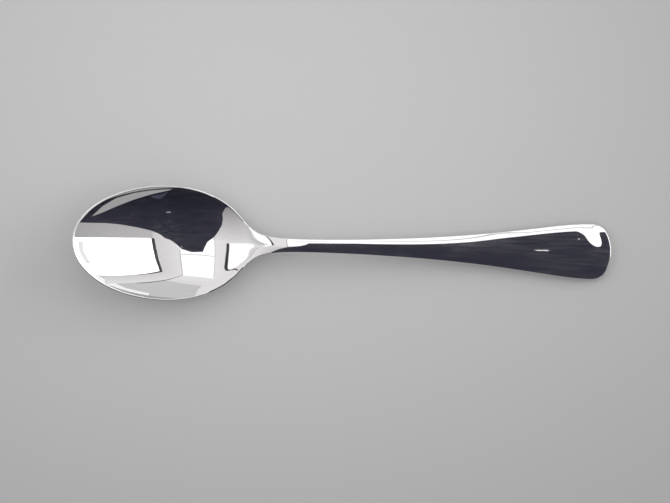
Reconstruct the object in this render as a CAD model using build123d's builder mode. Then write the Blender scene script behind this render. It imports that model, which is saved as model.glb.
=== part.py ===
"""A plain teaspoon in millimetres, lying on a table with the bowl open upwards.

X runs from the bowl's tip to the handle's end, Y across the spoon, and Z up from the table.
The forging is a lofted blank that is clipped to the plan outline and trimmed along the rim.
It is then divided into its bowl, neck, stem and terminal.
"""

import os
from math import acos, degrees, radians, sin, sqrt

from build123d import *

# Plan outline; the bowl's oval has one reach to the tip and another to the neck
spoon_length = 140.0
bowl_width = 30.0
bowl_tip_reach = 24.4
bowl_neck_reach = 21.4
bowl_flank_turn = 52.0
shoulder_width = 8.5
neck_width = 4.3
waist_width = 3.5
shank_width = 4.7
swell_width = 8.1
turn_width = 12.1
end_width = 14.5
end_radius = 10.3
end_corner = 4.0

# Places along the spoon, from the end of the bowl's oval or from the handle's end
oval_to_shoulder = 0.4
shoulder_to_neck = 5.6
shoulder_to_waist = 13.8
swell_to_end = 34.0
turn_to_end = 18.0
bend_to_end = 8.0

# Bowl; the fullness flattens its middle and steepens its sides
bowl_depth = 6.2
bowl_floor = 1.5
bowl_fullness = 0.2
rim_land = 0.45
rim_wall = 1.0
rim_tilt = -0.275
rim_sheer = 0.0008
rim_upturn = 0.9
upturn_power = 4
rim_round = 0.15

# Heights of the handle's upper side on its axis; at the end the metal rests on the table
neck_height = 6.9
waist_height = 7.9
shank_height = 6.7
swell_height = 4.2
turn_height = 3.0
bend_height = 2.5

# Thicknesses on the axis, and the rise of each side from its edges to the axis
shoulder_hollow = 0.5
shoulder_thickness = 2.3
neck_crown = 0.3
neck_thickness = 2.9
stem_crown = 0.6
stem_thickness = 2.9
end_crown = 0.5
end_thickness = 1.8
handle_belly = 0.25
handle_round = 0.45

# The blank reaches past the outline by a margin, and at the tip it stays half as wide as the bowl
clip_margin = 0.4
blank_tip_share = 0.5
tip_shares = (0.15, 0.4, 0.7, 1.0)
neck_shares = (0.3, 0.58, 0.8, 0.92)
across_shares = (-1.0, -0.7, -0.35, 0.0, 0.35, 0.7, 1.0)
seat_steps = 200

# Stations, each a distance from the bowl's tip
shoulder_at = bowl_tip_reach + bowl_neck_reach + oval_to_shoulder
neck_at = shoulder_at + shoulder_to_neck
waist_at = shoulder_at + shoulder_to_waist
swell_at = spoon_length - swell_to_end
shank_at = (waist_at + swell_at) / 2
turn_at = spoon_length - turn_to_end
bend_at = spoon_length - bend_to_end

plan_plane = Plane(origin=(-spoon_length / 2, 0, 0))
side_plane = Plane(origin=(-spoon_length / 2, 0, 0), x_dir=(1, 0, 0), z_dir=(0, -1, 0))


def section_plane(station):
    """Plane square to the spoon at a distance from the bowl's tip."""
    return Plane.YZ.offset(station - spoon_length / 2)


def rim_rise(station):
    """Rise of the rim above its middle: tilted, slightly swept, and turned up into the neck."""
    beyond = station - bowl_tip_reach
    toward_neck = max(beyond, 0) / bowl_neck_reach
    return rim_tilt * beyond + rim_sheer * beyond**2 + rim_upturn * toward_neck**upturn_power


def oval_share(station, across, inset):
    """1 at the bowl's middle and 0 on the oval that lies an inset inside the plan outline."""
    reach = bowl_tip_reach if station < bowl_tip_reach else bowl_neck_reach
    along = (station - bowl_tip_reach) / (reach - inset)
    return 1 - along**2 - (across / (bowl_width / 2 - inset))**2


def bowl_dip(share, depth):
    """Drop of the bowl below its rim at a share of the oval."""
    return depth * share * (1 + bowl_fullness * (1 - share))


def rim_height(station):
    """Height of the rim once the bowl's lowest point rests on the table."""
    return bowl_lift + rim_rise(station)


def bowl_curve(station, inset, top, depth):
    """Hanging curve across the blank at one station of the bowl."""
    span_share = sqrt(max(oval_share(station, 0, 0), blank_tip_share**2))
    half = span_share * bowl_width / 2 + clip_margin
    points = []
    for across in across_shares:
        share = oval_share(station, across * half, inset)
        points.append((across * half, top - bowl_dip(share, depth)))
    return Spline(*points)


def bowed_curve(half, edge, axis):
    """Parabola across the handle from edge to edge through a height on the axis."""
    return Bezier((-half, edge), (0, 2 * axis - edge), (half, edge))


def along_handle(station, at_waist, at_end):
    """Straight taper of a size from the waist to the handle's end."""
    return at_waist + (at_end - at_waist) * (station - waist_at) / (spoon_length - waist_at)


def outline_edges(zone):
    """Edges along the outline, where the upright walls meet the upper and lower sides."""
    walls = zone.faces().filter_by(GeomType.PLANE, reverse=True)
    walls = walls.filter_by(lambda face: abs(face.normal_at().Z) < 0.01)
    return walls.edges().filter_by(lambda edge: abs(edge.tangent_at(0.5).Z) < 0.9)


# The bowl's underside on the axis, searched for the lowest point
outer_depth = bowl_depth + bowl_floor - rim_wall
bowl_lift = 0
for step in range(seat_steps):
    station = shoulder_at * step / seat_steps
    drop = rim_wall + bowl_dip(oval_share(station, 0, 0), outer_depth)
    bowl_lift = max(bowl_lift, drop - rim_rise(station))

bowl_stations = [-2 * clip_margin]
bowl_stations += [bowl_tip_reach * share for share in tip_shares]
bowl_stations += [bowl_tip_reach + bowl_neck_reach * share for share in neck_shares]

# Each handle section has a station, a width, a height on the axis, a crown and a thickness
shoulder_height = rim_height(shoulder_at) - shoulder_hollow
shoulder_crown = -shoulder_hollow * (shoulder_width / (shoulder_width - 2 * rim_land))**2
handle_sections = [
    (shoulder_at, shoulder_width, shoulder_height, shoulder_crown, shoulder_thickness),
    (neck_at, neck_width, neck_height, neck_crown, neck_thickness),
]
for station, width, height in (
    (waist_at, waist_width, waist_height),
    (shank_at, shank_width, shank_height),
    (swell_at, swell_width, swell_height),
    (turn_at, turn_width, turn_height),
    (bend_at, end_width, bend_height),
    (spoon_length, end_width, end_thickness),
):
    crown = along_handle(station, stem_crown, end_crown)
    thickness = along_handle(station, stem_thickness, end_thickness)
    handle_sections.append((station, width, height, crown, thickness))

# The end arc has its centre on the axis, and the corner arcs run into it without a break
corner_turn = degrees(acos((end_width / 2 - end_corner) / (end_radius - end_corner)))
corner_reach = end_corner * sin(radians(corner_turn))
end_reach = corner_reach + end_radius * (1 - sin(radians(corner_turn)))

with BuildPart() as forging:
    for station in bowl_stations:
        with BuildSketch(section_plane(station)):
            with BuildLine():
                rim = rim_height(station)
                inside = bowl_curve(station, rim_land, rim, bowl_depth)
                outside = bowl_curve(station, 0, rim - rim_wall, outer_depth)
                Line(inside @ 0, outside @ 0)
                Line(inside @ 1, outside @ 1)
            make_face()
    for station, width, height, crown, thickness in handle_sections:
        with BuildSketch(section_plane(station)):
            with BuildLine():
                half = width / 2 + clip_margin
                underside = height - thickness
                upper = bowed_curve(half, height - crown, height)
                lower = bowed_curve(half, underside + handle_belly, underside)
                Line(upper @ 0, lower @ 0)
                Line(upper @ 1, lower @ 1)
            make_face()
    loft()
    with BuildSketch(plan_plane):
        with BuildLine():
            centre = (bowl_tip_reach, 0)
            EllipticalCenterArc(centre, bowl_tip_reach, bowl_width / 2, 180, arc_size=-90)
            flank = EllipticalCenterArc(
                centre, bowl_neck_reach, bowl_width / 2, 90, arc_size=-bowl_flank_turn
            )
            flare = Spline(
                flank @ 1,
                (shoulder_at, shoulder_width / 2),
                (neck_at, neck_width / 2),
                (waist_at, waist_width / 2),
                tangents=[flank % 1, (1, 0)],
            )
            side = Spline(
                flare @ 1,
                (shank_at, shank_width / 2),
                (swell_at, swell_width / 2),
                (turn_at, turn_width / 2),
                (spoon_length - end_reach, end_width / 2),
                tangents=[(1, 0), (1, 0)],
            )
            corner = JernArc(side @ 1, (1, 0), end_corner, arc_size=-corner_turn)
            TangentArc(corner @ 1, (spoon_length, 0), tangent=corner % 1)
            mirror(about=Plane.XZ)
        make_face()
    extrude(amount=spoon_length, both=True, mode=Mode.INTERSECT)

with BuildPart() as bowl:
    add(forging.part)
    split(bisect_by=section_plane(shoulder_at), keep=Keep.BOTTOM)
    with BuildSketch(side_plane):
        with BuildLine():
            ceiling = rim_height(bowl_stations[0]) + rim_height(neck_at)
            rim_line = Spline(*[(n, rim_height(n)) for n in (*bowl_stations, shoulder_at, neck_at)])
            Polyline(rim_line @ 1, (neck_at, ceiling), (bowl_stations[0], ceiling), rim_line @ 0)
        make_face()
    extrude(amount=bowl_width, both=True, mode=Mode.SUBTRACT)
    fillet(outline_edges(bowl), rim_round)

with BuildPart() as neck:
    add(forging.part)
    split(bisect_by=section_plane(shoulder_at), keep=Keep.TOP)
    split(bisect_by=section_plane(waist_at), keep=Keep.BOTTOM)
    fillet(outline_edges(neck), handle_round)

with BuildPart() as stem:
    add(forging.part)
    split(bisect_by=section_plane(waist_at), keep=Keep.TOP)
    split(bisect_by=section_plane(turn_at), keep=Keep.BOTTOM)
    fillet(outline_edges(stem), handle_round)

with BuildPart() as terminal:
    add(forging.part)
    split(bisect_by=section_plane(turn_at), keep=Keep.TOP)
    fillet(outline_edges(terminal), handle_round)

os.makedirs("parts", exist_ok=True)
bowl.part.label = "bowl"
export_step(bowl.part, "parts/bowl.step")
neck.part.label = "neck"
export_step(neck.part, "parts/neck.step")
stem.part.label = "stem"
export_step(stem.part, "parts/stem.step")
terminal.part.label = "terminal"
export_step(terminal.part, "parts/terminal.step")
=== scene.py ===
import math

import bpy
import numpy as np
from bpy.props import FloatProperty, FloatVectorProperty, PointerProperty
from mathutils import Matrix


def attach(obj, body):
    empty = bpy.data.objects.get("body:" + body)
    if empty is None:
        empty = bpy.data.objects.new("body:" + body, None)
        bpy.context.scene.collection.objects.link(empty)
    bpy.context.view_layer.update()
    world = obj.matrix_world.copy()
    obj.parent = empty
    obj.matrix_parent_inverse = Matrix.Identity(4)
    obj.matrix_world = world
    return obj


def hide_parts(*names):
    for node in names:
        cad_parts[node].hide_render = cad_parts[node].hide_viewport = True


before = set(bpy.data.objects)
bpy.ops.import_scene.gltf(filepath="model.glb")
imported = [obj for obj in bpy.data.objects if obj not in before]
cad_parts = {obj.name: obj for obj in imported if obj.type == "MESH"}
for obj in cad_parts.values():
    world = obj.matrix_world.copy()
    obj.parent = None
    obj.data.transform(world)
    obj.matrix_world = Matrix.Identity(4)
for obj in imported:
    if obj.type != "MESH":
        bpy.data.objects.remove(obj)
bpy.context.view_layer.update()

bl_info = {
    "name": "Polished teaspoon",
    "version": (1, 0, 0),
    "blender": (4, 5, 0),
    "location": "3D view, sidebar, Teaspoon",
    "description": "Builds a mirror-polished teaspoon on a pale studio table",
    "category": "Object",
}

MM = 0.001
MIRROR = "mirror_polish"
BODY = "root"

# Ribs round the tip, along each zone and round the terminal, and points along one rib; the step
# in millimetres that measures a slope, and the decimals to which merged points agree
TIP_RIBS = 72
BOWL_RIBS = 72
NECK_RIBS = 160
STEM_RIBS = 170
END_RIBS = 40
CORNER_RIBS = 24
ARC_RIBS = 30
FACE_POINTS = 44
FACE_BUNCHING = 1.5
EDGE_POINTS = 8
SLOPE_STEP = 0.01
MERGE_DIGITS = 4

# The bowl's middle, which the studio panels surround, and the grid of one panel
DOME_CENTRE = (-43 * MM, 0, 6 * MM)
CARD_ROWS = 48
CARD_COLUMNS = 24


def length(name, description, default):
    """A size in metres with its default given in millimetres."""
    return FloatProperty(
        name=name, description=description, default=default * MM, unit="LENGTH", precision=5
    )


class TeaspoonSizes(bpy.types.PropertyGroup):
    """Sizes of the spoon; stations run from the bowl's tip to the handle's end."""

    total: length("Length", "Bowl's tip to handle's end", 140)
    bowl_width: length("Bowl width", "Widest place of the bowl", 30)
    bowl_tip_reach: length("Tip reach", "Widest place of the bowl to its tip", 24.4)
    bowl_neck_reach: length("Neck reach", "Widest place of the bowl to the end of its oval", 21.4)
    bowl_depth: length("Bowl depth", "Rim to the deepest place inside", 6.2)
    bowl_floor: length("Bowl floor", "Metal under the deepest place", 1.5)
    rim_land: length("Rim land", "Flat top of the rim", 0.45)
    rim_wall: length("Rim wall", "Height of the rim's outer side", 1)
    rim_round: length("Edge rounding", "Radius of the outline's edges", 0.24)
    shoulder_rise: length("Shoulder rise", "Edge height at the shoulder", 5.04)
    shoulder_width: length("Shoulder width", "Outline where the bowl becomes the neck", 8.5)
    neck_width: length("Neck width", "Outline of the neck", 4.3)
    waist_width: length("Waist width", "Narrowest place of the handle", 3.5)
    shank_width: length("Shank width", "Outline between waist and swell", 4.7)
    swell_width: length("Swell width", "Outline where the handle widens", 8.1)
    turn_width: length("Turn width", "Outline where the terminal begins", 12.1)
    end_width: length("End width", "Widest place of the terminal", 14.5)
    end_radius: length("End radius", "Arc across the handle's end", 10.3)
    end_corner: length("End corner", "Arc at the terminal's corners", 4)
    neck_height: length("Neck height", "Upper side on the axis at the neck", 6.95)
    neck_crown: length("Neck crown", "Rise of the upper side across the neck", 0.36)
    waist_crown: length("Waist crown", "Rise of the upper side across the waist", 0.23)
    shank_crown: length("Shank crown", "Rise of the upper side across the shank", 0.255)
    swell_crown: length("Swell crown", "Rise of the upper side across the swell", 0.4)
    turn_crown: length("Turn crown", "Rise of the upper side across the turn", 0.41)
    end_crown: length("End crown", "Rise of the upper side across the end", 0.5)
    border: length("End border", "Flatter band along the handle's end", 1.9)


class TeaspoonFinish(bpy.types.PropertyGroup):
    """Look of the polished metal."""

    metal: FloatVectorProperty(
        name="Metal", description="Mirror colour", subtype="COLOR", default=(0.93, 0.925, 0.93)
    )
    gloss: FloatProperty(
        name="Roughness",
        description="Roughness of the clean polish",
        default=0.01,
        subtype="FACTOR",
    )
    haze: FloatProperty(
        name="Haze",
        description="Share of light that the clean polish scatters",
        default=0.01,
        subtype="FACTOR",
    )
    hairlines: FloatProperty(
        name="Hairlines",
        description="Share of light that wiping marks scatter",
        default=0.8,
        subtype="FACTOR",
    )
    wiped: FloatProperty(
        name="Wiped roughness",
        description="Roughness of the wiping marks",
        default=0.42,
        subtype="FACTOR",
    )


class TeaspoonStage(bpy.types.PropertyGroup):
    """Table, light and camera."""

    # Painted light: the table's colour is a painted pool of light, brightest at one place, with
    # painted shade further away.
    table: FloatVectorProperty(
        name="Table",
        description="Colour of the table at its brightest place",
        subtype="COLOR",
        default=(0.557, 0.557, 0.557),
    )
    table_painted_shade: FloatVectorProperty(
        name="Table far",
        description="Colour of the table far from its brightest place",
        subtype="COLOR",
        default=(0.33, 0.33, 0.33),
    )
    # Place and reach of the painted pool of light on the table.
    painted_light_along: length("Bright along", "Brightest place of the table along the spoon", -25)
    painted_light_across: length("Bright across", "Brightest place of the table across the spoon", 40)
    painted_light_reach_along: length("Reach along", "Reach of the bright place along the spoon", 149.2)
    painted_light_reach_across: length("Reach across", "Reach of the bright place across the spoon", 113.2)
    room: FloatVectorProperty(
        name="Room",
        description="Light from the plain walls",
        subtype="COLOR",
        default=(0.58, 0.575, 0.58),
    )
    softbox: FloatProperty(name="Softbox", description="Brightness of the softboxes", default=2.2)
    softbox_seen: FloatProperty(
        name="Softbox seen",
        description="Brightness of the small softbox in the metal",
        default=1.12,
    )
    panel: FloatProperty(name="Panel", description="Brightness of the far panel", default=1.25)
    camera_height: length("Camera height", "Camera above the table", 1600)
    view_width: length("View width", "Width of the table that the camera sees", 174.9)
    view_turn: FloatProperty(
        name="View turn",
        description="Turn of the camera about its view",
        default=math.radians(1.17),
        subtype="ANGLE",
    )
    aim: FloatVectorProperty(
        name="Aim",
        description="Place on the table under the camera",
        size=2,
        subtype="XYZ",
        unit="LENGTH",
        default=(-2.0 * MM, -1.33 * MM),
    )


def smooth_step(x, low, high):
    """0 below low, 1 above high, with no kink in slope or curvature between them."""
    t = np.clip((x - low) / (high - low), 0, 1)
    return t**3 * (t * (6 * t - 15) + 10)


def spline(knots, values, first_slope=None, last_slope=None):
    """Cubic curve through all the values, smooth to its second derivative.

    The slopes at the knots solve one linear system; an end without a given slope is left
    straight. The result is a function of whole arrays.
    """
    x = np.asarray(knots, float)
    y = np.asarray(values, float)
    gap = np.diff(x)
    rise = np.diff(y) / gap
    near = np.append(1 / gap, 1 / gap[-1])
    matrix = np.diag(np.append(1 / gap, 0) * 2 + np.insert(1 / gap, 0, 0) * 2)
    matrix += np.diag(near[:-1], 1) + np.diag(near[:-1], -1)
    target = 3 * (np.append(rise / gap, 0) + np.insert(rise / gap, 0, 0))
    for row, slope in ((0, first_slope), (-1, last_slope)):
        if slope is not None:
            matrix[row] = 0
            matrix[row, row] = 1
            target[row] = slope
    slopes = np.linalg.solve(matrix, target)

    def curve(at):
        at = np.asarray(at, float)
        i = np.clip(np.searchsorted(x, at) - 1, 0, len(gap) - 1)
        t = (at - x[i]) / gap[i]
        start = (1 + 2 * t) * (1 - t) ** 2 * y[i] + t * (1 - t) ** 2 * gap[i] * slopes[i]
        end = t**2 * (3 - 2 * t) * y[i + 1] + t**2 * (t - 1) * gap[i] * slopes[i + 1]
        return start + end

    return curve


class SpoonForm:
    """The spoon as height functions over its plan, in millimetres.

    s is the distance from the bowl's tip and y the distance from the axis.
    """

    # Places along the spoon, from the end of the bowl's oval or from the handle's end
    OVAL_TO_SHOULDER = 0.4
    SHOULDER_TO_NECK = 5.6
    SHOULDER_TO_WAIST = 13.8
    SWELL_TO_END = 34
    TURN_TO_END = 18

    # Bowl and rim; the oval runs into the flare at the flank's angle
    FLANK = math.radians(52)
    FULLNESS = 0.2
    TILT = -0.275
    SHEER = 0.0008
    UPTURN = 0.9
    UPTURN_POWER = 4
    RIM_SHARES = (0.3, 0.58, 0.8)
    TIP_LEAD = 3
    TIP_KNOTS = 6
    SEAT_MARGIN = 0.5
    SEAT_STEPS = 400

    # Stretches from one form to the next, from the bowl's middle, the shoulder or the neck
    SCOOP_START, SCOOP_FULL = 14, 19
    LAND_LEAD = 1.4
    CROWN_LEAD = 3
    WALL_START, WALL_FULL = -8, 1.5
    DIP_START, DIP_GONE = -6, 8
    HOLLOW_START, HOLLOW_GONE = -1, 1.5

    # Edge of the flank, as steps from the shoulder and its rise
    FLANK_STEPS = (-1.3, 0, 2.4)
    FLANK_RISES = (-0.36, 0, 0.71)

    # Handle, and the softness and least sizes of its forms
    BELLY = 0.25
    HANDLE_SIDE = 2.45
    BORDER_SLOPE = 0.09
    BORDER_SOFT = 0.3
    SOFT_HOLLOW = 0.003
    SOFT_CROWN = 0.01
    LEAST_CREST = 0.3
    LEAST_HALF = 0.5
    PAST_EDGE = 1.2

    # Lean of the upper side on the axis, as a station and degrees
    SCOOP_SLOPES = (
        (38, 12.5), (40.3, 16.3), (42, 19.6), (44, 22.6), (46, 24), (47.6, 25.4), (49, 27.4),
        (50.2, 23.8), (51, 16.9), (51.75, 14.2), (53.5, 10.2), (55.75, 6.8),
    )
    STEM_SLOPES = (
        (60, 0), (66, -3), (72, -5), (78, -6), (83, -6.2), (92, -5.8), (98, -4.7),
        (106, -4.2), (115, -3.2), (122, -2.5),
    )
    END_SLOPES = (
        (126, -2.4), (130, -2.6), (131.4, -3.4), (132.6, -5.8), (134, -8.1), (136.4, -8.45),
        (140, -8.7),
    )

    def __init__(self, sizes):
        for name in sizes.__annotations__:
            setattr(self, name, getattr(sizes, name) / MM)
        self.half_bowl = self.bowl_width / 2
        self.middle = self.bowl_tip_reach
        self.shoulder_at = self.bowl_tip_reach + self.bowl_neck_reach + self.OVAL_TO_SHOULDER
        self.neck_at = self.shoulder_at + self.SHOULDER_TO_NECK
        self.waist_at = self.shoulder_at + self.SHOULDER_TO_WAIST
        self.swell_at = self.total - self.SWELL_TO_END
        self.shank_at = (self.waist_at + self.swell_at) / 2
        self.turn_at = self.total - self.TURN_TO_END
        corner_in = self.end_width / 2 - self.end_corner
        self.corner_turn = math.acos(corner_in / (self.end_radius - self.end_corner))
        end_reach = self.end_corner * math.sin(self.corner_turn)
        end_reach += self.end_radius * (1 - math.sin(self.corner_turn))
        self.round_at = self.total - end_reach
        self.flank_at = self.middle + self.bowl_neck_reach * math.sin(self.FLANK)
        self.lay_outline()
        self.lay_heights()

    def lay_outline(self):
        """Curves of the outline's flare and of the handle's sides through the named widths."""
        flank_half = self.half_bowl * math.cos(self.FLANK)
        flank_slope = -math.tan(self.FLANK) * self.half_bowl / self.bowl_neck_reach
        self.flare = spline(
            (self.flank_at, self.shoulder_at, self.neck_at, self.waist_at),
            (flank_half, self.shoulder_width / 2, self.neck_width / 2, self.waist_width / 2),
            flank_slope,
            0,
        )
        widths = (
            (self.waist_at, self.waist_width),
            (self.shank_at, self.shank_width),
            (self.swell_at, self.swell_width),
            (self.turn_at, self.turn_width),
            (self.round_at, self.end_width),
        )
        at, width = np.transpose(widths)
        self.side = spline(at, width / 2, 0, 0)

    def lay_heights(self):
        """Curves along the spoon of the axis, the edge, the crown and its power, and the land.

        The knots of the crown, the power and the land are pairs of a station and a value.
        """
        self.rim_lift = 0.0
        seat_end = self.shoulder_at - self.SEAT_MARGIN
        seat = np.linspace(self.SEAT_MARGIN, seat_end, self.SEAT_STEPS)
        drop = self.rim_wall + self.dip(self.oval(seat, 0, 0), self.outer_depth())
        self.rim_lift = np.max(drop - self.rim(seat))
        at, lean = np.array(self.SCOOP_SLOPES + self.STEM_SLOPES + self.END_SLOPES).T
        slope = np.tan(np.radians(lean))
        rise = np.insert(np.cumsum(np.diff(at) * (slope[1:] + slope[:-1]) / 2), 0, 0)
        self.axis = spline(at, rise, slope[0], slope[-1])
        rise += self.neck_height - self.axis(self.neck_at)
        self.axis = spline(at, rise, slope[0], slope[-1])
        self.end_height = rise[-1]
        crowns = (
            (self.shoulder_at - self.CROWN_LEAD, 0),
            (self.shoulder_at, self.neck_crown * 0.15),
            (self.neck_at - 3.3, self.neck_crown * 0.35),
            (self.neck_at, self.neck_crown),
            (self.neck_at + 4, self.neck_crown * 0.85),
            (self.waist_at, self.waist_crown),
            (self.waist_at + 6, self.waist_crown - 0.01),
            (self.shank_at - 3, self.shank_crown),
            (self.swell_at, self.swell_crown),
            (self.turn_at, self.turn_crown),
            (self.total, self.end_crown),
        )
        self.crown_curve = spline(*np.transpose(crowns), 0, 0)
        toward_tip = np.linspace(-self.TIP_LEAD, self.middle, self.TIP_KNOTS)
        toward_neck = self.middle + self.bowl_neck_reach * np.array(self.RIM_SHARES)
        bowl = np.append(toward_tip, toward_neck)
        flank = self.shoulder_at + np.array(self.FLANK_STEPS)
        flank_rise = self.shoulder_rise + np.array(self.FLANK_RISES)
        handle = at[at > self.neck_at + self.HOLLOW_START]
        handle_rise = self.axis(handle) - self.crown(handle)
        self.edge = spline(
            np.concatenate((bowl, flank, handle)),
            np.concatenate((self.rim(bowl), flank_rise, handle_rise)),
        )
        powers = (
            (self.waist_at, 1.7),
            (self.swell_at, 1.7),
            (self.turn_at - 9, 1.95),
            (self.turn_at - 4, 2.7),
            (self.total, 2.6),
        )
        self.power = spline(*np.transpose(powers), 0, 0)
        lands = (
            (self.shoulder_at - self.LAND_LEAD, self.rim_land),
            (self.shoulder_at, 0.95),
            (self.shoulder_at + 0.8, 1.5),
            (self.shoulder_at + 1.8, 2.02),
            (self.shoulder_at + 3, 2.24),
            (self.neck_at, 2.3),
        )
        self.land = spline(*np.transpose(lands), 0, 0)

    def outer_depth(self):
        """Drop of the bowl's underside below the foot of the rim's outer side."""
        return self.bowl_depth + self.bowl_floor - self.rim_wall

    def taper(self, s, at_waist, at_end):
        """Straight change of a size from the waist to the handle's end."""
        return at_waist + (at_end - at_waist) * (s - self.waist_at) / (self.total - self.waist_at)

    def rim(self, s):
        """Height of the rim: tilted, slightly swept, and turned up into the neck."""
        beyond = s - self.middle
        toward_neck = np.clip(beyond, 0, None) / self.bowl_neck_reach
        upturn = self.UPTURN * toward_neck**self.UPTURN_POWER
        return self.rim_lift + self.TILT * beyond + self.SHEER * beyond**2 + upturn

    def dip(self, share, depth):
        """Drop below the rim at a share of the oval; the fullness flattens the middle."""
        return depth * share * (1 + self.FULLNESS * (1 - share))

    def oval(self, s, y, inset):
        """1 at the bowl's middle and 0 on its oval moved in by an inset."""
        reach = np.where(s < self.middle, self.bowl_tip_reach, self.bowl_neck_reach) - inset
        return 1 - ((s - self.middle) / reach) ** 2 - (y / (self.half_bowl - inset)) ** 2

    def half_width(self, s):
        """Half width of the outline, without the rounding of the handle's end."""
        s = np.asarray(s, float)
        reach = np.where(s < self.middle, self.bowl_tip_reach, self.bowl_neck_reach)
        bowl = self.half_bowl * np.sqrt(np.clip(1 - ((s - self.middle) / reach) ** 2, 0, None))
        width = np.where(s > self.flank_at, self.flare(s), bowl)
        width = np.where(s > self.waist_at, self.side(s), width)
        return np.where(s > self.round_at, self.end_width / 2, width)

    def crown(self, s):
        """Rise of the upper side from its edges to the axis; the bowl has none."""
        return np.where(s < self.shoulder_at - self.CROWN_LEAD, 0, self.crown_curve(s))

    def hollow(self, s, y):
        """Drop of the upper side below the outline's height and the crown.

        In the bowl it is the dip of the oval inside the rim land. Near the neck it is a scoop
        that follows the axis. The land widens there, so the scoop ends in a point. A soft
        maximum keeps the drop above zero.
        """
        bowl = self.dip(self.oval(s, y, self.rim_land), self.bowl_depth)
        beyond = np.clip(s, self.shoulder_at - self.LAND_LEAD, self.neck_at)
        crest = np.maximum(self.half_width(s) - self.land(beyond), self.LEAST_CREST)
        axis = self.axis(np.maximum(s, self.SCOOP_SLOPES[0][0]))
        depth = self.edge(s) + self.crown(s) - axis
        depth = (depth + np.sqrt(depth**2 + self.SOFT_HOLLOW**2)) / 2
        scoop = depth * (1 - (y / crest) ** 2)
        blend = smooth_step(s - self.middle, self.SCOOP_START, self.SCOOP_FULL)
        drop = bowl + (scoop - bowl) * blend
        fade = 1 - smooth_step(s - self.neck_at, self.HOLLOW_START, self.HOLLOW_GONE)
        return (drop + np.sqrt(drop**2 + self.SOFT_HOLLOW**2)) / 2 * fade

    def upper(self, s, y):
        """Edge height, less the hollow, plus the handle's crown and the border of its end.

        The crown falls from the axis with a power of the share of the half width.
        """
        half = np.maximum(self.half_width(s), self.LEAST_HALF)
        across = np.clip(y / half, -self.PAST_EDGE, self.PAST_EDGE)
        power = self.power(np.clip(s, self.waist_at, self.total))
        fall = (across**2 + self.SOFT_CROWN) ** (power / 2) - self.SOFT_CROWN ** (power / 2)
        return self.edge(s) - self.hollow(s, y) + self.crown(s) * (1 - fall) + self.end_border(s, y)

    def end_border(self, s, y):
        """Rise of the band along the end arc, which lies flatter than the metal before it."""
        ahead = np.maximum(s - self.total + self.end_radius, 0)
        out = np.hypot(ahead, y) - self.end_radius + self.border
        lead = ahead / np.maximum(np.hypot(ahead, y), 1)
        return self.BORDER_SLOPE * lead**2 * (out + np.sqrt(out**2 + self.BORDER_SOFT**2)) / 2

    def under(self, s, y):
        """Edge height, less the side wall, the belly, and the bowl's outer dip."""
        past = s - self.shoulder_at
        blend = smooth_step(past, self.WALL_START, self.WALL_FULL)
        end_side = self.end_height - self.end_crown - self.BELLY
        wall = self.rim_wall + blend * (self.taper(s, self.HANDLE_SIDE, end_side) - self.rim_wall)
        fade = 1 - smooth_step(past, self.DIP_START, self.DIP_GONE)
        share = np.maximum(self.half_width(s) ** 2 - y**2, 0) / self.half_bowl**2
        across = np.clip(y / np.maximum(self.half_width(s), self.LEAST_HALF), -1, 1)
        belly = self.BELLY * blend * (1 - across**2)
        return self.edge(s) - wall - belly - self.dip(share, self.outer_depth()) * fade


def rib_layout(form):
    """Feet and outline ends of the ribs that carry the surface, from tip to handle end.

    Ribs fan about the bowl's middle round the tip, run square to the axis along the spoon,
    and fan about a point near the end round the terminal. The result is two arrays of plan
    points and the numbers of the ribs that lie on the three divides.
    """
    turn = np.linspace(0, math.pi / 2, TIP_RIBS, endpoint=False)
    tip_at = form.middle - form.bowl_tip_reach * np.cos(turn)
    tip = np.stack((tip_at, form.half_bowl * np.sin(turn)), -1)
    spans = (
        (form.middle, form.shoulder_at, BOWL_RIBS),
        (form.shoulder_at, form.waist_at, NECK_RIBS),
        (form.waist_at, form.turn_at, STEM_RIBS),
        (form.turn_at, form.round_at, END_RIBS),
    )
    stations = np.concatenate([np.linspace(a, b, n, endpoint=False) for a, b, n in spans])
    sides = np.stack((stations, form.half_width(stations)), -1)
    corner = np.linspace(0, form.corner_turn, CORNER_RIBS, endpoint=False)
    bend_at = form.round_at + form.end_corner * np.sin(corner)
    bend_out = form.end_width / 2 - form.end_corner + form.end_corner * np.cos(corner)
    bends = np.stack((bend_at, bend_out), -1)
    sweep = np.linspace(math.pi / 2 - form.corner_turn, 0, ARC_RIBS)
    hub = form.total - form.end_radius
    arc = np.stack((hub + form.end_radius * np.cos(sweep), form.end_radius * np.sin(sweep)), -1)
    outline = np.concatenate((tip, sides, bends, arc))
    foot_at = np.concatenate((
        np.full(len(tip), form.middle), stations, np.full(len(bends) + len(arc), form.round_at)
    ))
    feet = np.stack((foot_at, np.zeros(len(foot_at))), -1)
    counts = np.cumsum([len(tip)] + [n for _, _, n in spans])
    return feet, outline, {"shoulder": counts[1], "waist": counts[2], "turn": counts[3]}


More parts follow.
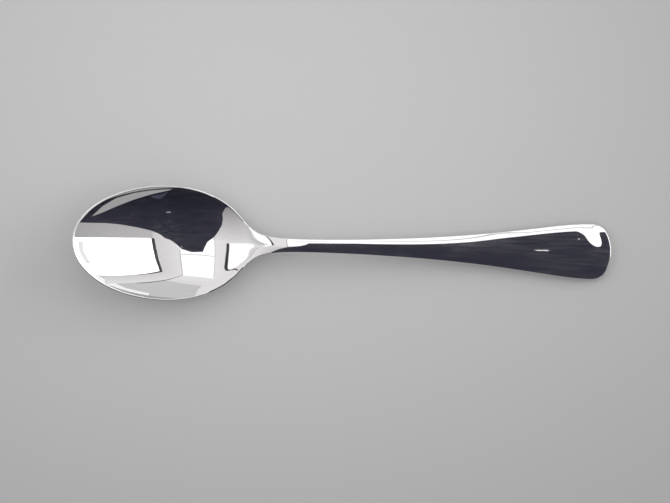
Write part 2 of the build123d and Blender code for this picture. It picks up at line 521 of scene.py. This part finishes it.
def spoon_skin(form):
    """Points and normals of the upper side and the underside along all the ribs.

    On a rib the distance from its foot is g(R - r) + r sin a: g runs over the face, a turns
    the edge's rounding of radius r, and R reaches the outline. The face's height function
    gives the height, and its slopes the normal, which turns outwards with a.
    """
    feet, outline, divides = rib_layout(form)
    arms = outline - feet
    reach = np.linalg.norm(arms, axis=-1)
    run = np.gradient(outline, axis=0)
    run[0] = (0, 1)
    run[-1] = (0, -1)
    outward = np.stack((-run[:, 1], run[:, 0]), -1)
    outward /= np.linalg.norm(outward, axis=-1, keepdims=True)
    face = 1 - np.linspace(0, 1, FACE_POINTS) ** FACE_BUNCHING
    edge_turn = np.linspace(math.pi / 2, 0, EDGE_POINTS, endpoint=False)
    grow = np.concatenate((np.ones(len(edge_turn)), face))
    turn = np.concatenate((edge_turn, np.zeros(len(face))))
    grow = np.concatenate((grow, grow[-2::-1]))
    turn = np.concatenate((turn, turn[-2::-1]))
    side = np.concatenate((np.ones(len(grow) // 2 + 1), -np.ones(len(grow) // 2)))

    radius = form.rim_round
    inset = grow * (reach[:, None] - radius) + radius * np.sin(turn)
    along = feet[:, :1] + inset * (arms[:, :1] / reach[:, None])
    across = inset * (arms[:, 1:] / reach[:, None]) * side
    drop = radius * (1 - np.cos(turn))
    out = np.stack((outward[:, :1] + 0 * across, outward[:, 1:] * side, 0 * across), -1)

    def surface(height, sign):
        z = height(along, across)
        climb_s = height(along + SLOPE_STEP, across) - height(along - SLOPE_STEP, across)
        climb_y = height(along, across + SLOPE_STEP) - height(along, across - SLOPE_STEP)
        normal = np.stack((-climb_s, -climb_y, np.full_like(z, 2 * SLOPE_STEP)), -1) * sign
        normal /= np.linalg.norm(normal, axis=-1, keepdims=True)
        normal = normal * np.cos(turn)[:, None] + out * np.sin(turn)[:, None]
        points = np.stack((along - form.total / 2, across, z - sign * drop), -1)
        return points * MM, normal / np.linalg.norm(normal, axis=-1, keepdims=True)

    return surface(form.upper, 1), surface(form.under, -1), divides


def closed_piece(name, skin, first, last):
    """Closed mesh of the ribs from first to last, with flat caps where a divide cuts it.

    The grids of the upper side and the underside give the faces, strips join them along
    the outline, and equal points are merged. Every corner keeps its own normal.
    """
    (top, top_normal), (low, low_normal), _ = skin
    ribs = slice(first, last + 1)
    shape = top[ribs].shape[:2]
    points = np.concatenate((top[ribs].reshape(-1, 3), low[ribs].reshape(-1, 3)))
    normals = np.concatenate((top_normal[ribs].reshape(-1, 3), low_normal[ribs].reshape(-1, 3)))
    up = np.arange(shape[0] * shape[1]).reshape(shape)
    down = up + up.size

    def quads(a, b, c, d):
        return np.stack((a, b, c, d), -1).reshape(-1, 4)

    skins = [
        quads(up[:-1, :-1], up[:-1, 1:], up[1:, 1:], up[1:, :-1]),
        quads(down[:-1, :-1], down[1:, :-1], down[1:, 1:], down[:-1, 1:]),
        quads(up[:-1, 0], up[1:, 0], down[1:, 0], down[:-1, 0]),
        quads(up[:-1, -1], down[:-1, -1], down[1:, -1], up[1:, -1]),
    ]
    caps = []
    if first > 0:
        caps.append((quads(up[0, :-1], down[0, :-1], down[0, 1:], up[0, 1:]), (-1, 0, 0)))
    if last + 1 < len(top):
        caps.append((quads(up[-1, :-1], up[-1, 1:], down[-1, 1:], down[-1, :-1]), (1, 0, 0)))
    faces = np.concatenate(skins + [cap for cap, _ in caps])
    corner_normals = np.concatenate(
        [normals[np.concatenate(skins)]] + [np.broadcast_to(n, (len(cap), 4, 3)) for cap, n in caps]
    )
    halves = np.array(((0, 1, 2), (0, 2, 3)))
    triangles = faces[:, halves].reshape(-1, 3)
    corner_normals = corner_normals[:, halves].reshape(-1, 3, 3)

    places = np.round(points / MM, MERGE_DIGITS)
    _, keep, merged = np.unique(places, axis=0, return_index=True, return_inverse=True)
    triangles = merged.ravel()[triangles]
    a, b, c = triangles.T
    whole = (a != b) & (b != c) & (c != a)
    return mesh_object(name, points[keep], triangles[whole], corner_normals[whole])


def mesh_object(name, points, polygons, corner_normals=None):
    """Object at the origin whose faces all have as many corners as a row of polygons."""
    mesh = bpy.data.meshes.new(name)
    corners = polygons.shape[1]
    mesh.vertices.add(len(points))
    mesh.vertices.foreach_set("co", np.asarray(points, np.float32).ravel())
    mesh.loops.add(polygons.size)
    mesh.loops.foreach_set("vertex_index", polygons.astype(np.int32).ravel())
    mesh.polygons.add(len(polygons))
    mesh.polygons.foreach_set("loop_start", np.arange(0, polygons.size, corners, dtype=np.int32))
    mesh.update(calc_edges=True)
    if mesh.validate():
        raise RuntimeError(f"{name} has a broken face")
    mesh.shade_smooth()
    if corner_normals is not None:
        mesh.normals_split_custom_set(corner_normals.reshape(-1, 3).tolist())
    made = bpy.data.objects.new(name, mesh)
    bpy.context.collection.objects.link(made)
    return made


class Wire:
    """One output of a node; arithmetic on it adds Math nodes to its tree."""

    def __init__(self, socket):
        self.socket = socket

    @staticmethod
    def node(tree, kind, settings=None, sockets=None, output=0):
        """Adds a node: first its settings, then the values or wires of its sockets."""
        made = tree.nodes.new(kind)
        for name, value in (settings or {}).items():
            setattr(made, name, value)
        inputs = {socket.identifier: socket for socket in made.inputs}
        for name, value in (sockets or {}).items():
            socket = made.inputs[name] if name not in inputs else inputs[name]
            if isinstance(value, Wire):
                tree.links.new(value.socket, socket)
            else:
                socket.default_value = value
        outputs = {socket.identifier: socket for socket in made.outputs}
        return Wire(outputs.get(output) or made.outputs[output]) if outputs else made

    def math(self, operation, first, second):
        """A Math node in this wire's tree, with numbers or wires as its operands."""
        tree = self.socket.id_data
        return Wire.node(tree, "ShaderNodeMath", {"operation": operation}, {0: first, 1: second})

    def __add__(self, other):
        return self.math("ADD", self, other)

    def __sub__(self, other):
        return self.math("SUBTRACT", self, other)

    def __rsub__(self, other):
        return self.math("SUBTRACT", other, self)

    def __mul__(self, other):
        return self.math("MULTIPLY", self, other)

    def __pow__(self, other):
        return self.math("POWER", self, other)

    def exp(self):
        """e raised to this wire."""
        return self.math("EXPONENT", self, 0)


def fresh_material(name):
    """An empty node material and its tree."""
    material = bpy.data.materials.new(name)
    material.use_nodes = True
    material.node_tree.nodes.clear()
    return material, material.node_tree


def stretched_noise(tree, detail, squeeze):
    """Noise on Object coordinates, drawn out along the axes whose squeeze per metre is small."""
    place = Wire.node(tree, "ShaderNodeTexCoord", output="Object")
    spread = Wire.node(tree, "ShaderNodeMapping", sockets={"Vector": place, "Scale": squeeze})
    sockets = {"Vector": spread, "Scale": 1.0, "Detail": detail, "Roughness": 0.55}
    return Wire.node(tree, "ShaderNodeTexNoise", sockets=sockets)


def mirror_polish(finish):
    """Mirror metal with a thin haze of wiping marks along the spoon and cloudy smudges."""
    material, tree = fresh_material(MIRROR)
    hair = stretched_noise(tree, detail=2.0, squeeze=(70, 1500, 1500))
    cloud = stretched_noise(tree, detail=4.0, squeeze=(120, 260, 260))
    marks = hair**3 * cloud**2
    haze = marks * finish.hairlines + finish.haze
    colour = (*finish.metal, 1)
    mirror = Wire.node(
        tree,
        "ShaderNodeBsdfPrincipled",
        sockets={"Base Color": colour, "Metallic": 1.0, "Roughness": finish.gloss},
    )
    wiped = Wire.node(
        tree,
        "ShaderNodeBsdfPrincipled",
        sockets={"Base Color": colour, "Metallic": 1.0, "Roughness": finish.wiped},
    )
    shader = Wire.node(tree, "ShaderNodeMixShader", sockets={0: haze, 1: mirror, 2: wiped})
    Wire.node(tree, "ShaderNodeOutputMaterial", sockets={"Surface": shader})
    return material


def dome_points(angles, distance):
    """Points of a dome about the bowl; angles are degrees from straight up toward +X and +Y."""
    lean = np.radians(np.hypot(angles[..., 0], angles[..., 1]))
    bearing = np.arctan2(angles[..., 1], angles[..., 0])
    level = np.stack((np.cos(bearing), np.sin(bearing)), -1) * np.sin(lean)[..., None]
    direction = np.concatenate((level, np.cos(lean)[..., None]), -1)
    return np.asarray(DOME_CENTRE) + distance * direction


def resampled(corners, count):
    """Evenly spaced points along a line of corners."""
    corners = np.asarray(corners, float)
    run = np.insert(np.cumsum(np.linalg.norm(np.diff(corners, axis=0), axis=-1)), 0, 0)
    at = np.linspace(0, run[-1], count)
    return np.stack((np.interp(at, run, corners[:, 0]), np.interp(at, run, corners[:, 1])), -1)


def glow(name, colour, strength, last_strength):
    """Material that only gives light, graded from one edge of a card to the other."""
    material, tree = fresh_material(name)
    place = Wire.node(tree, "ShaderNodeTexCoord", output="UV")
    share = Wire.node(tree, "ShaderNodeSeparateXYZ", sockets={"Vector": place}, output="X")
    first = (*(strength * part for part in colour), 1)
    last = (*(last_strength * part for part in colour), 1)
    light = Wire.node(
        tree,
        "ShaderNodeMix",
        {"data_type": "RGBA", "clamp_factor": True},
        {"Factor": share, "A_Color": first, "B_Color": last},
        output="Result_Color",
    )
    shader = Wire.node(tree, "ShaderNodeEmission", sockets={"Color": light})
    Wire.node(tree, "ShaderNodeOutputMaterial", sockets={"Surface": shader})
    return material


def card(name, one_edge, other_edge, distance, colour, strength, last_strength=None, use="both"):
    """A lit or dark panel on the dome, ruled between two edges given as lines of angles.

    A card for the mirror is only seen in the metal, and one for light only lights the table.
    """
    share = np.linspace(0, 1, CARD_COLUMNS)[None, :, None]
    one = resampled(one_edge, CARD_ROWS)[:, None]
    other = resampled(other_edge, CARD_ROWS)[:, None]
    points = dome_points(one * (1 - share) + other * share, distance).reshape(-1, 3)
    number = np.arange(len(points)).reshape(CARD_ROWS, CARD_COLUMNS)
    quads = np.stack((number[:-1, :-1], number[:-1, 1:], number[1:, 1:], number[1:, :-1]), -1)
    made = mesh_object(name, points, quads.reshape(-1, 4))
    grade = np.broadcast_to(share[..., 0], number.shape).ravel()[quads.ravel()]
    layer = made.data.uv_layers.new(name="grade")
    layer.uv.foreach_set("vector", np.stack((grade, 0 * grade), -1).astype(np.float32).ravel())
    last_strength = strength if last_strength is None else last_strength
    made.data.materials.append(glow(name, colour, strength, last_strength))
    made.visible_camera = False
    made.visible_diffuse = use != "mirror"
    made.visible_shadow = use != "mirror"
    made.visible_glossy = use != "light"


def dress(piece, node):
    """Gives a finished piece its metal and its body, and hides the CAD node that it stands for."""
    metal = bpy.data.materials.get(MIRROR) or mirror_polish(bpy.context.scene.teaspoon_finish)
    piece.data.materials.append(metal)
    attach(piece, BODY)
    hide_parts(node)


def add_zone(context, node, start, stop):
    """Builds one zone of the spoon between two divides, or to an end where none is named."""
    skin = spoon_skin(SpoonForm(context.scene.teaspoon_sizes))
    divides = skin[2]
    first = divides[start] if start else 0
    last = divides[stop] if stop else len(skin[0][0]) - 1
    dress(closed_piece(f"{node}_skin", skin, first, last), node)
    return {"FINISHED"}


class TEASPOON_OT_bowl(bpy.types.Operator):
    """Add the oval bowl with its rim"""

    bl_idname = "teaspoon.bowl"
    bl_label = "Bowl"

    def execute(self, context):
        return add_zone(context, "bowl", None, "shoulder")


class TEASPOON_OT_neck(bpy.types.Operator):
    """Add the neck where the hollow runs out"""

    bl_idname = "teaspoon.neck"
    bl_label = "Neck"

    def execute(self, context):
        return add_zone(context, "neck", "shoulder", "waist")


class TEASPOON_OT_stem(bpy.types.Operator):
    """Add the slim stem"""

    bl_idname = "teaspoon.stem"
    bl_label = "Stem"

    def execute(self, context):
        return add_zone(context, "stem", "waist", "turn")


class TEASPOON_OT_terminal(bpy.types.Operator):
    """Add the wide rounded end"""

    bl_idname = "teaspoon.terminal"
    bl_label = "Terminal"

    def execute(self, context):
        return add_zone(context, "terminal", "turn", None)


def add_table(stage):
    """A wide flat grid just under the spoon, whose colour is a painted pool of light that
    darkens away from its brightest place.

    The share of the far colour, which is painted shade, is 1 - exp(-d), where d is the square of
    the distance from the brightest place over its reach.
    """
    reach = 4.0
    grid_lines = 9
    gap = 0.02 * MM
    at = np.linspace(-reach, reach, grid_lines)
    x, y = np.meshgrid(at, at, indexing="ij")
    number = np.arange(x.size).reshape(x.shape)
    quads = np.stack((number[:-1, :-1], number[1:, :-1], number[1:, 1:], number[:-1, 1:]), -1)
    points = np.stack((x, y, np.full_like(x, -gap)), -1).reshape(-1, 3)
    table = mesh_object("table", points, quads.reshape(-1, 4))
    material, tree = fresh_material("table")
    place = Wire.node(tree, "ShaderNodeTexCoord", output="Object")
    along = Wire.node(tree, "ShaderNodeSeparateXYZ", sockets={"Vector": place}, output="X")
    across = Wire.node(tree, "ShaderNodeSeparateXYZ", sockets={"Vector": place}, output="Y")
    # Painted light: the table's colour runs from the lit colour to the painted shade away from the
    # pool's middle.
    along = (along - stage.painted_light_along) * (1 / stage.painted_light_reach_along)
    across = (across - stage.painted_light_across) * (1 / stage.painted_light_reach_across)
    share = 1 - ((along * along + across * across) * -1).exp()
    colour = Wire.node(
        tree,
        "ShaderNodeMix",
        {"data_type": "RGBA", "clamp_factor": True},
        {"Factor": share, "A_Color": (*stage.table, 1), "B_Color": (*stage.table_painted_shade, 1)},
        output="Result_Color",
    )
    shader = Wire.node(
        tree,
        "ShaderNodeBsdfPrincipled",
        sockets={"Base Color": colour, "Roughness": 0.9, "Specular IOR Level": 0.0},
    )
    Wire.node(tree, "ShaderNodeOutputMaterial", sockets={"Surface": shader})
    table.data.materials.append(material)


def add_panels(stage):
    """The studio round the spoon, as panels on a dome seen from the bowl.

    Each panel has two edges in degrees, a distance in metres, a colour and a brightness, which
    a second number changes toward the other edge.
    """
    remote, panel_bars = 12, 11.8
    far, mid, fill = 2.6, 2.5, 2.4
    near, skirt, close, patch, lamp = 1.5, 1.48, 1.46, 1.45, 1.44
    beside = 0.6
    white = (1.0, 1.0, 1.0)
    dark = (0.05, 0.05, 0.06)
    pale = (1.0, 0.975, 0.985)
    navy = (0.6, 0.6, 1.0)
    card("softbox_right", [(37, -6), (36, 7), (34, 23), (31, 42), (37, 45), (51, 51), (62, 54)],
         [(90, -6), (90, 7), (90, 23), (90, 42), (90, 45), (90, 51), (90, 54)],
         far, white, stage.softbox)
    card("softbox_right_frame", [(36, -6), (35, 7), (33.3, 23), (30, 42.5), (36, 46), (44, 49.3)],
         [(37.6, -6), (36.7, 7), (35, 23), (31.8, 41), (37, 44.6), (44, 48.7)], mid, dark, 0.5)
    card("softbox_right_seam", [(80.6, 0.5), (79.5, 17), (74.1, 36.5)],
         [(77.4, 0.5), (76.3, 17), (70.9, 36.5)], mid, white, 0.84)
    left_inner = [(-29.2, -1.2), (-29.6, 20), (-31, 41), (-32.4, 46)]
    left_outer = [(-49.2, -2.2), (-50.2, 2), (-51.6, 8), (-53, 14), (-57, 20.5), (-51, 22.8),
                  (-47.3, 24.6), (-43.4, 27.6), (-40.6, 30.5), (-38.5, 34.4), (-36.7, 38.1),
                  (-34.6, 43), (-33, 46)]
    card("softbox_left", left_inner, left_outer, far, white, stage.softbox_seen, use="mirror")
    card("softbox_left_light", left_inner, left_outer, far, white, stage.softbox, use="light")
    card("softbox_left_frame",
         [(-27, -1.3), (-27.5, 20), (-28.8, 41), (-30.4, 46.2), (-32.2, 47.6), (-33.6, 46.4),
          (-34.7, 44.4), (-35.2, 42.6)],
         [(-29.9, -1.3), (-30.3, 20), (-31.7, 41.5), (-32.4, 44.8), (-33.1, 45.7), (-33.8, 44.9),
          (-34.4, 43.8), (-35, 42.4)],
         mid, dark, 0.6)
    card("panel", [(27, -14), (24.5, 0), (22.4, 5.5), (20.8, 8.2), (19.4, 23), (15.4, 49)],
         [(-13, -14), (-13.9, 4), (-15.3, 25), (-17.5, 58.7)], remote, white, stage.panel)
    card("panel_bar", [(19.4, 15.3), (5.3, 16.6), (-14.4, 20)],
         [(19.4, 16.4), (5.3, 17.7), (-14.4, 21.1)], panel_bars, white, 0.5)
    card("panel_right_edge", [(21.1, 8.2), (19.7, 23), (15.7, 49)],
         [(20.5, 8.2), (19.1, 23), (15.1, 49)], panel_bars, white, 0.4)
    card("panel_left_edge", [(-12.7, -14), (-13.6, 4), (-15, 25), (-17.2, 57)],
         [(-13.5, -14), (-14.4, 4), (-15.8, 25), (-18, 57)], panel_bars, white, 0.4)
    card("wall_right", [(37, -14), (36, 7), (34, 23), (31, 42), (44, 50), (62, 55)],
         [(27, -14), (20.8, 8.2), (19.4, 23), (15.4, 49), (27.7, 57), (60, 68)],
         remote, pale, 0.66, 0.8)
    card("wall_low", [(20, -14), (37, -14), (37, -5.5)],
         [(60, -45), (90, -40), (90, -4)], remote, pale, 0.5, 0.38)
    card("wall_shade", [(-20, -66), (-32, -65), (-48, -63), (-62, -60)],
         [(-4, -8), (-14, -6.5), (-29, -5), (-52, -3)], remote, pale, 0.28, 0.76)
    card("wall_left", [(-13.2, -9), (-15.3, 25), (-17.5, 58.7)],
         [(-66, -3), (-70, 17), (-60, 50)], remote, pale, 0.84, 0.7)
    card("wall_far", [(15.2, 49), (1.2, 52.8), (-17.5, 58.7), (-33, 48)],
         [(27.7, 57), (10, 65), (-5.3, 71), (-36, 62)], remote, pale, 0.86, 0.74)
    card("wall_corner", [(15.2, 48.5), (21, 52.3), (27.7, 56.3), (35.6, 60), (42.4, 62.7)],
         [(15.2, 49.3), (21, 53.4), (27.7, 57.8), (35.6, 61.8), (42.4, 63.6)],
         panel_bars, white, 0.18)
    card("wall_bright", [(66, 54), (61, 60), (54, 66), (47, 73), (33, 80)],
         [(90, 50), (88, 70), (60, 88), (45, 94), (33, 96)], remote, white, 0.97)
    card("wall_light", [(-2, 76), (-5, 71), (-18, 62), (-33, 49)],
         [(0, 96), (-10, 92), (-30, 85), (-60, 68)], remote, pale, 0.8)
    card("flag",
         [(12, 12.7), (20.2, 7.7), (23, 2), (27.3, -4), (30.5, -6), (32.8, -11.2), (37, -16.2),
          (44.5, -21), (53.5, -25.7), (62, -28.6), (76, -30.5), (95, -33.5)],
         [(1.5, 12.5), (-0.2, 5.7), (-3.4, -2.9), (-13.7, -12.3), (-18.9, -20.3), (-24.4, -32),
          (-26.6, -44), (-26.6, -52), (-31, -64), (-36, -75)],
         near, navy, 0.035, use="mirror")
    card("flag_skirt", [(95, -32), (75, -34), (30, -45), (-10, -55), (-30, -64)],
         [(95, -34), (85, -55), (50, -90), (-10, -98), (-40, -88)], skirt, navy, 0.035, 0.008,
         use="mirror")
    card("strip", [(70, -42), (63, -57), (54, -69.6), (42.6, -78), (31.5, -83), (19.8, -86.4)],
         [(69.6, -41), (62, -48), (55.8, -54.8), (44.4, -66.3), (33.1, -76), (20.8, -84.9)],
         close, white, 0.36, use="mirror")
    card("fill", [(-37, -6), (-36, 7), (-34, 23), (-32, 40)],
         [(-88, -6), (-88, 7), (-86, 23), (-84, 40)], fill, white, stage.softbox, use="light")
    card("lamp_bowl", [(25.6, -45.4), (28.4, -45.0)], [(25.6, -46.0), (28.4, -45.6)],
         lamp, white, 0.9, use="mirror")
    card("lamp_handle", [(16.08, 0), (16.125, 0)], [(16.08, 0.15), (16.125, 0.15)],
         beside, white, 0.9, use="mirror")
    card("lamp_end", [(19.2, 5), (20.7, 5)], [(19.2, 5.5), (20.7, 5.5)],
         beside, white, 0.8, use="mirror")
    card("strip_patch", [(35, -71), (30, -67), (25.4, -76)], [(33, -74), (28, -76), (23.5, -82)],
         patch, navy, 0.085, use="mirror")


def add_camera(context, stage):
    """A camera straight above the spoon that sees the named width of the table."""
    data = bpy.data.cameras.new("camera")
    data.sensor_width = 36
    data.lens = data.sensor_width * stage.camera_height / stage.view_width
    data.clip_end = 20
    camera = bpy.data.objects.new("camera", data)
    camera.location = (*stage.aim, stage.camera_height)
    camera.rotation_euler = (0, 0, stage.view_turn)
    context.collection.objects.link(camera)
    context.scene.camera = camera


class TEASPOON_OT_stage(bpy.types.Operator):
    """Add the table, the studio panels and the camera"""

    bl_idname = "teaspoon.stage"
    bl_label = "Stage"

    def execute(self, context):
        stage = context.scene.teaspoon_stage
        add_table(stage)
        add_panels(stage)
        add_camera(context, stage)
        world = bpy.data.worlds.new("room")
        world.use_nodes = True
        tree = world.node_tree
        tree.nodes.clear()
        light = Wire.node(tree, "ShaderNodeBackground", sockets={"Color": (*stage.room, 1)})
        Wire.node(tree, "ShaderNodeOutputWorld", sockets={"Surface": light})
        context.scene.world = world
        context.scene.view_settings.view_transform = "Standard"
        return {"FINISHED"}


class TEASPOON_PT_panel(bpy.types.Panel):
    """Sidebar panel with the pieces and their values"""

    bl_idname = "TEASPOON_PT_panel"
    bl_label = "Teaspoon"
    bl_space_type = "VIEW_3D"
    bl_region_type = "UI"
    bl_category = "Teaspoon"

    def draw(self, context):
        scene = context.scene
        for operator in OPERATORS:
            self.layout.operator(operator.bl_idname)
        for group in (scene.teaspoon_sizes, scene.teaspoon_finish, scene.teaspoon_stage):
            for name in group.__annotations__:
                self.layout.prop(group, name)


OPERATORS = (
    TEASPOON_OT_bowl,
    TEASPOON_OT_neck,
    TEASPOON_OT_stem,
    TEASPOON_OT_terminal,
    TEASPOON_OT_stage,
)
GROUPS = (TeaspoonSizes, TeaspoonFinish, TeaspoonStage)


def register():
    """Make the classes and their settings known to Blender."""
    for part in (*GROUPS, *OPERATORS, TEASPOON_PT_panel):
        bpy.utils.register_class(part)
    bpy.types.Scene.teaspoon_sizes = PointerProperty(type=TeaspoonSizes)
    bpy.types.Scene.teaspoon_finish = PointerProperty(type=TeaspoonFinish)
    bpy.types.Scene.teaspoon_stage = PointerProperty(type=TeaspoonStage)


def unregister():
    """Take the settings and the classes away again."""
    del bpy.types.Scene.teaspoon_stage
    del bpy.types.Scene.teaspoon_finish
    del bpy.types.Scene.teaspoon_sizes
    for part in (TEASPOON_PT_panel, *reversed(OPERATORS), *reversed(GROUPS)):
        bpy.utils.unregister_class(part)


def main():
    register()
    bpy.ops.teaspoon.bowl()
    bpy.ops.teaspoon.neck()
    bpy.ops.teaspoon.stem()
    bpy.ops.teaspoon.terminal()
    bpy.ops.teaspoon.stage()


if __name__ == "__main__":
    main()
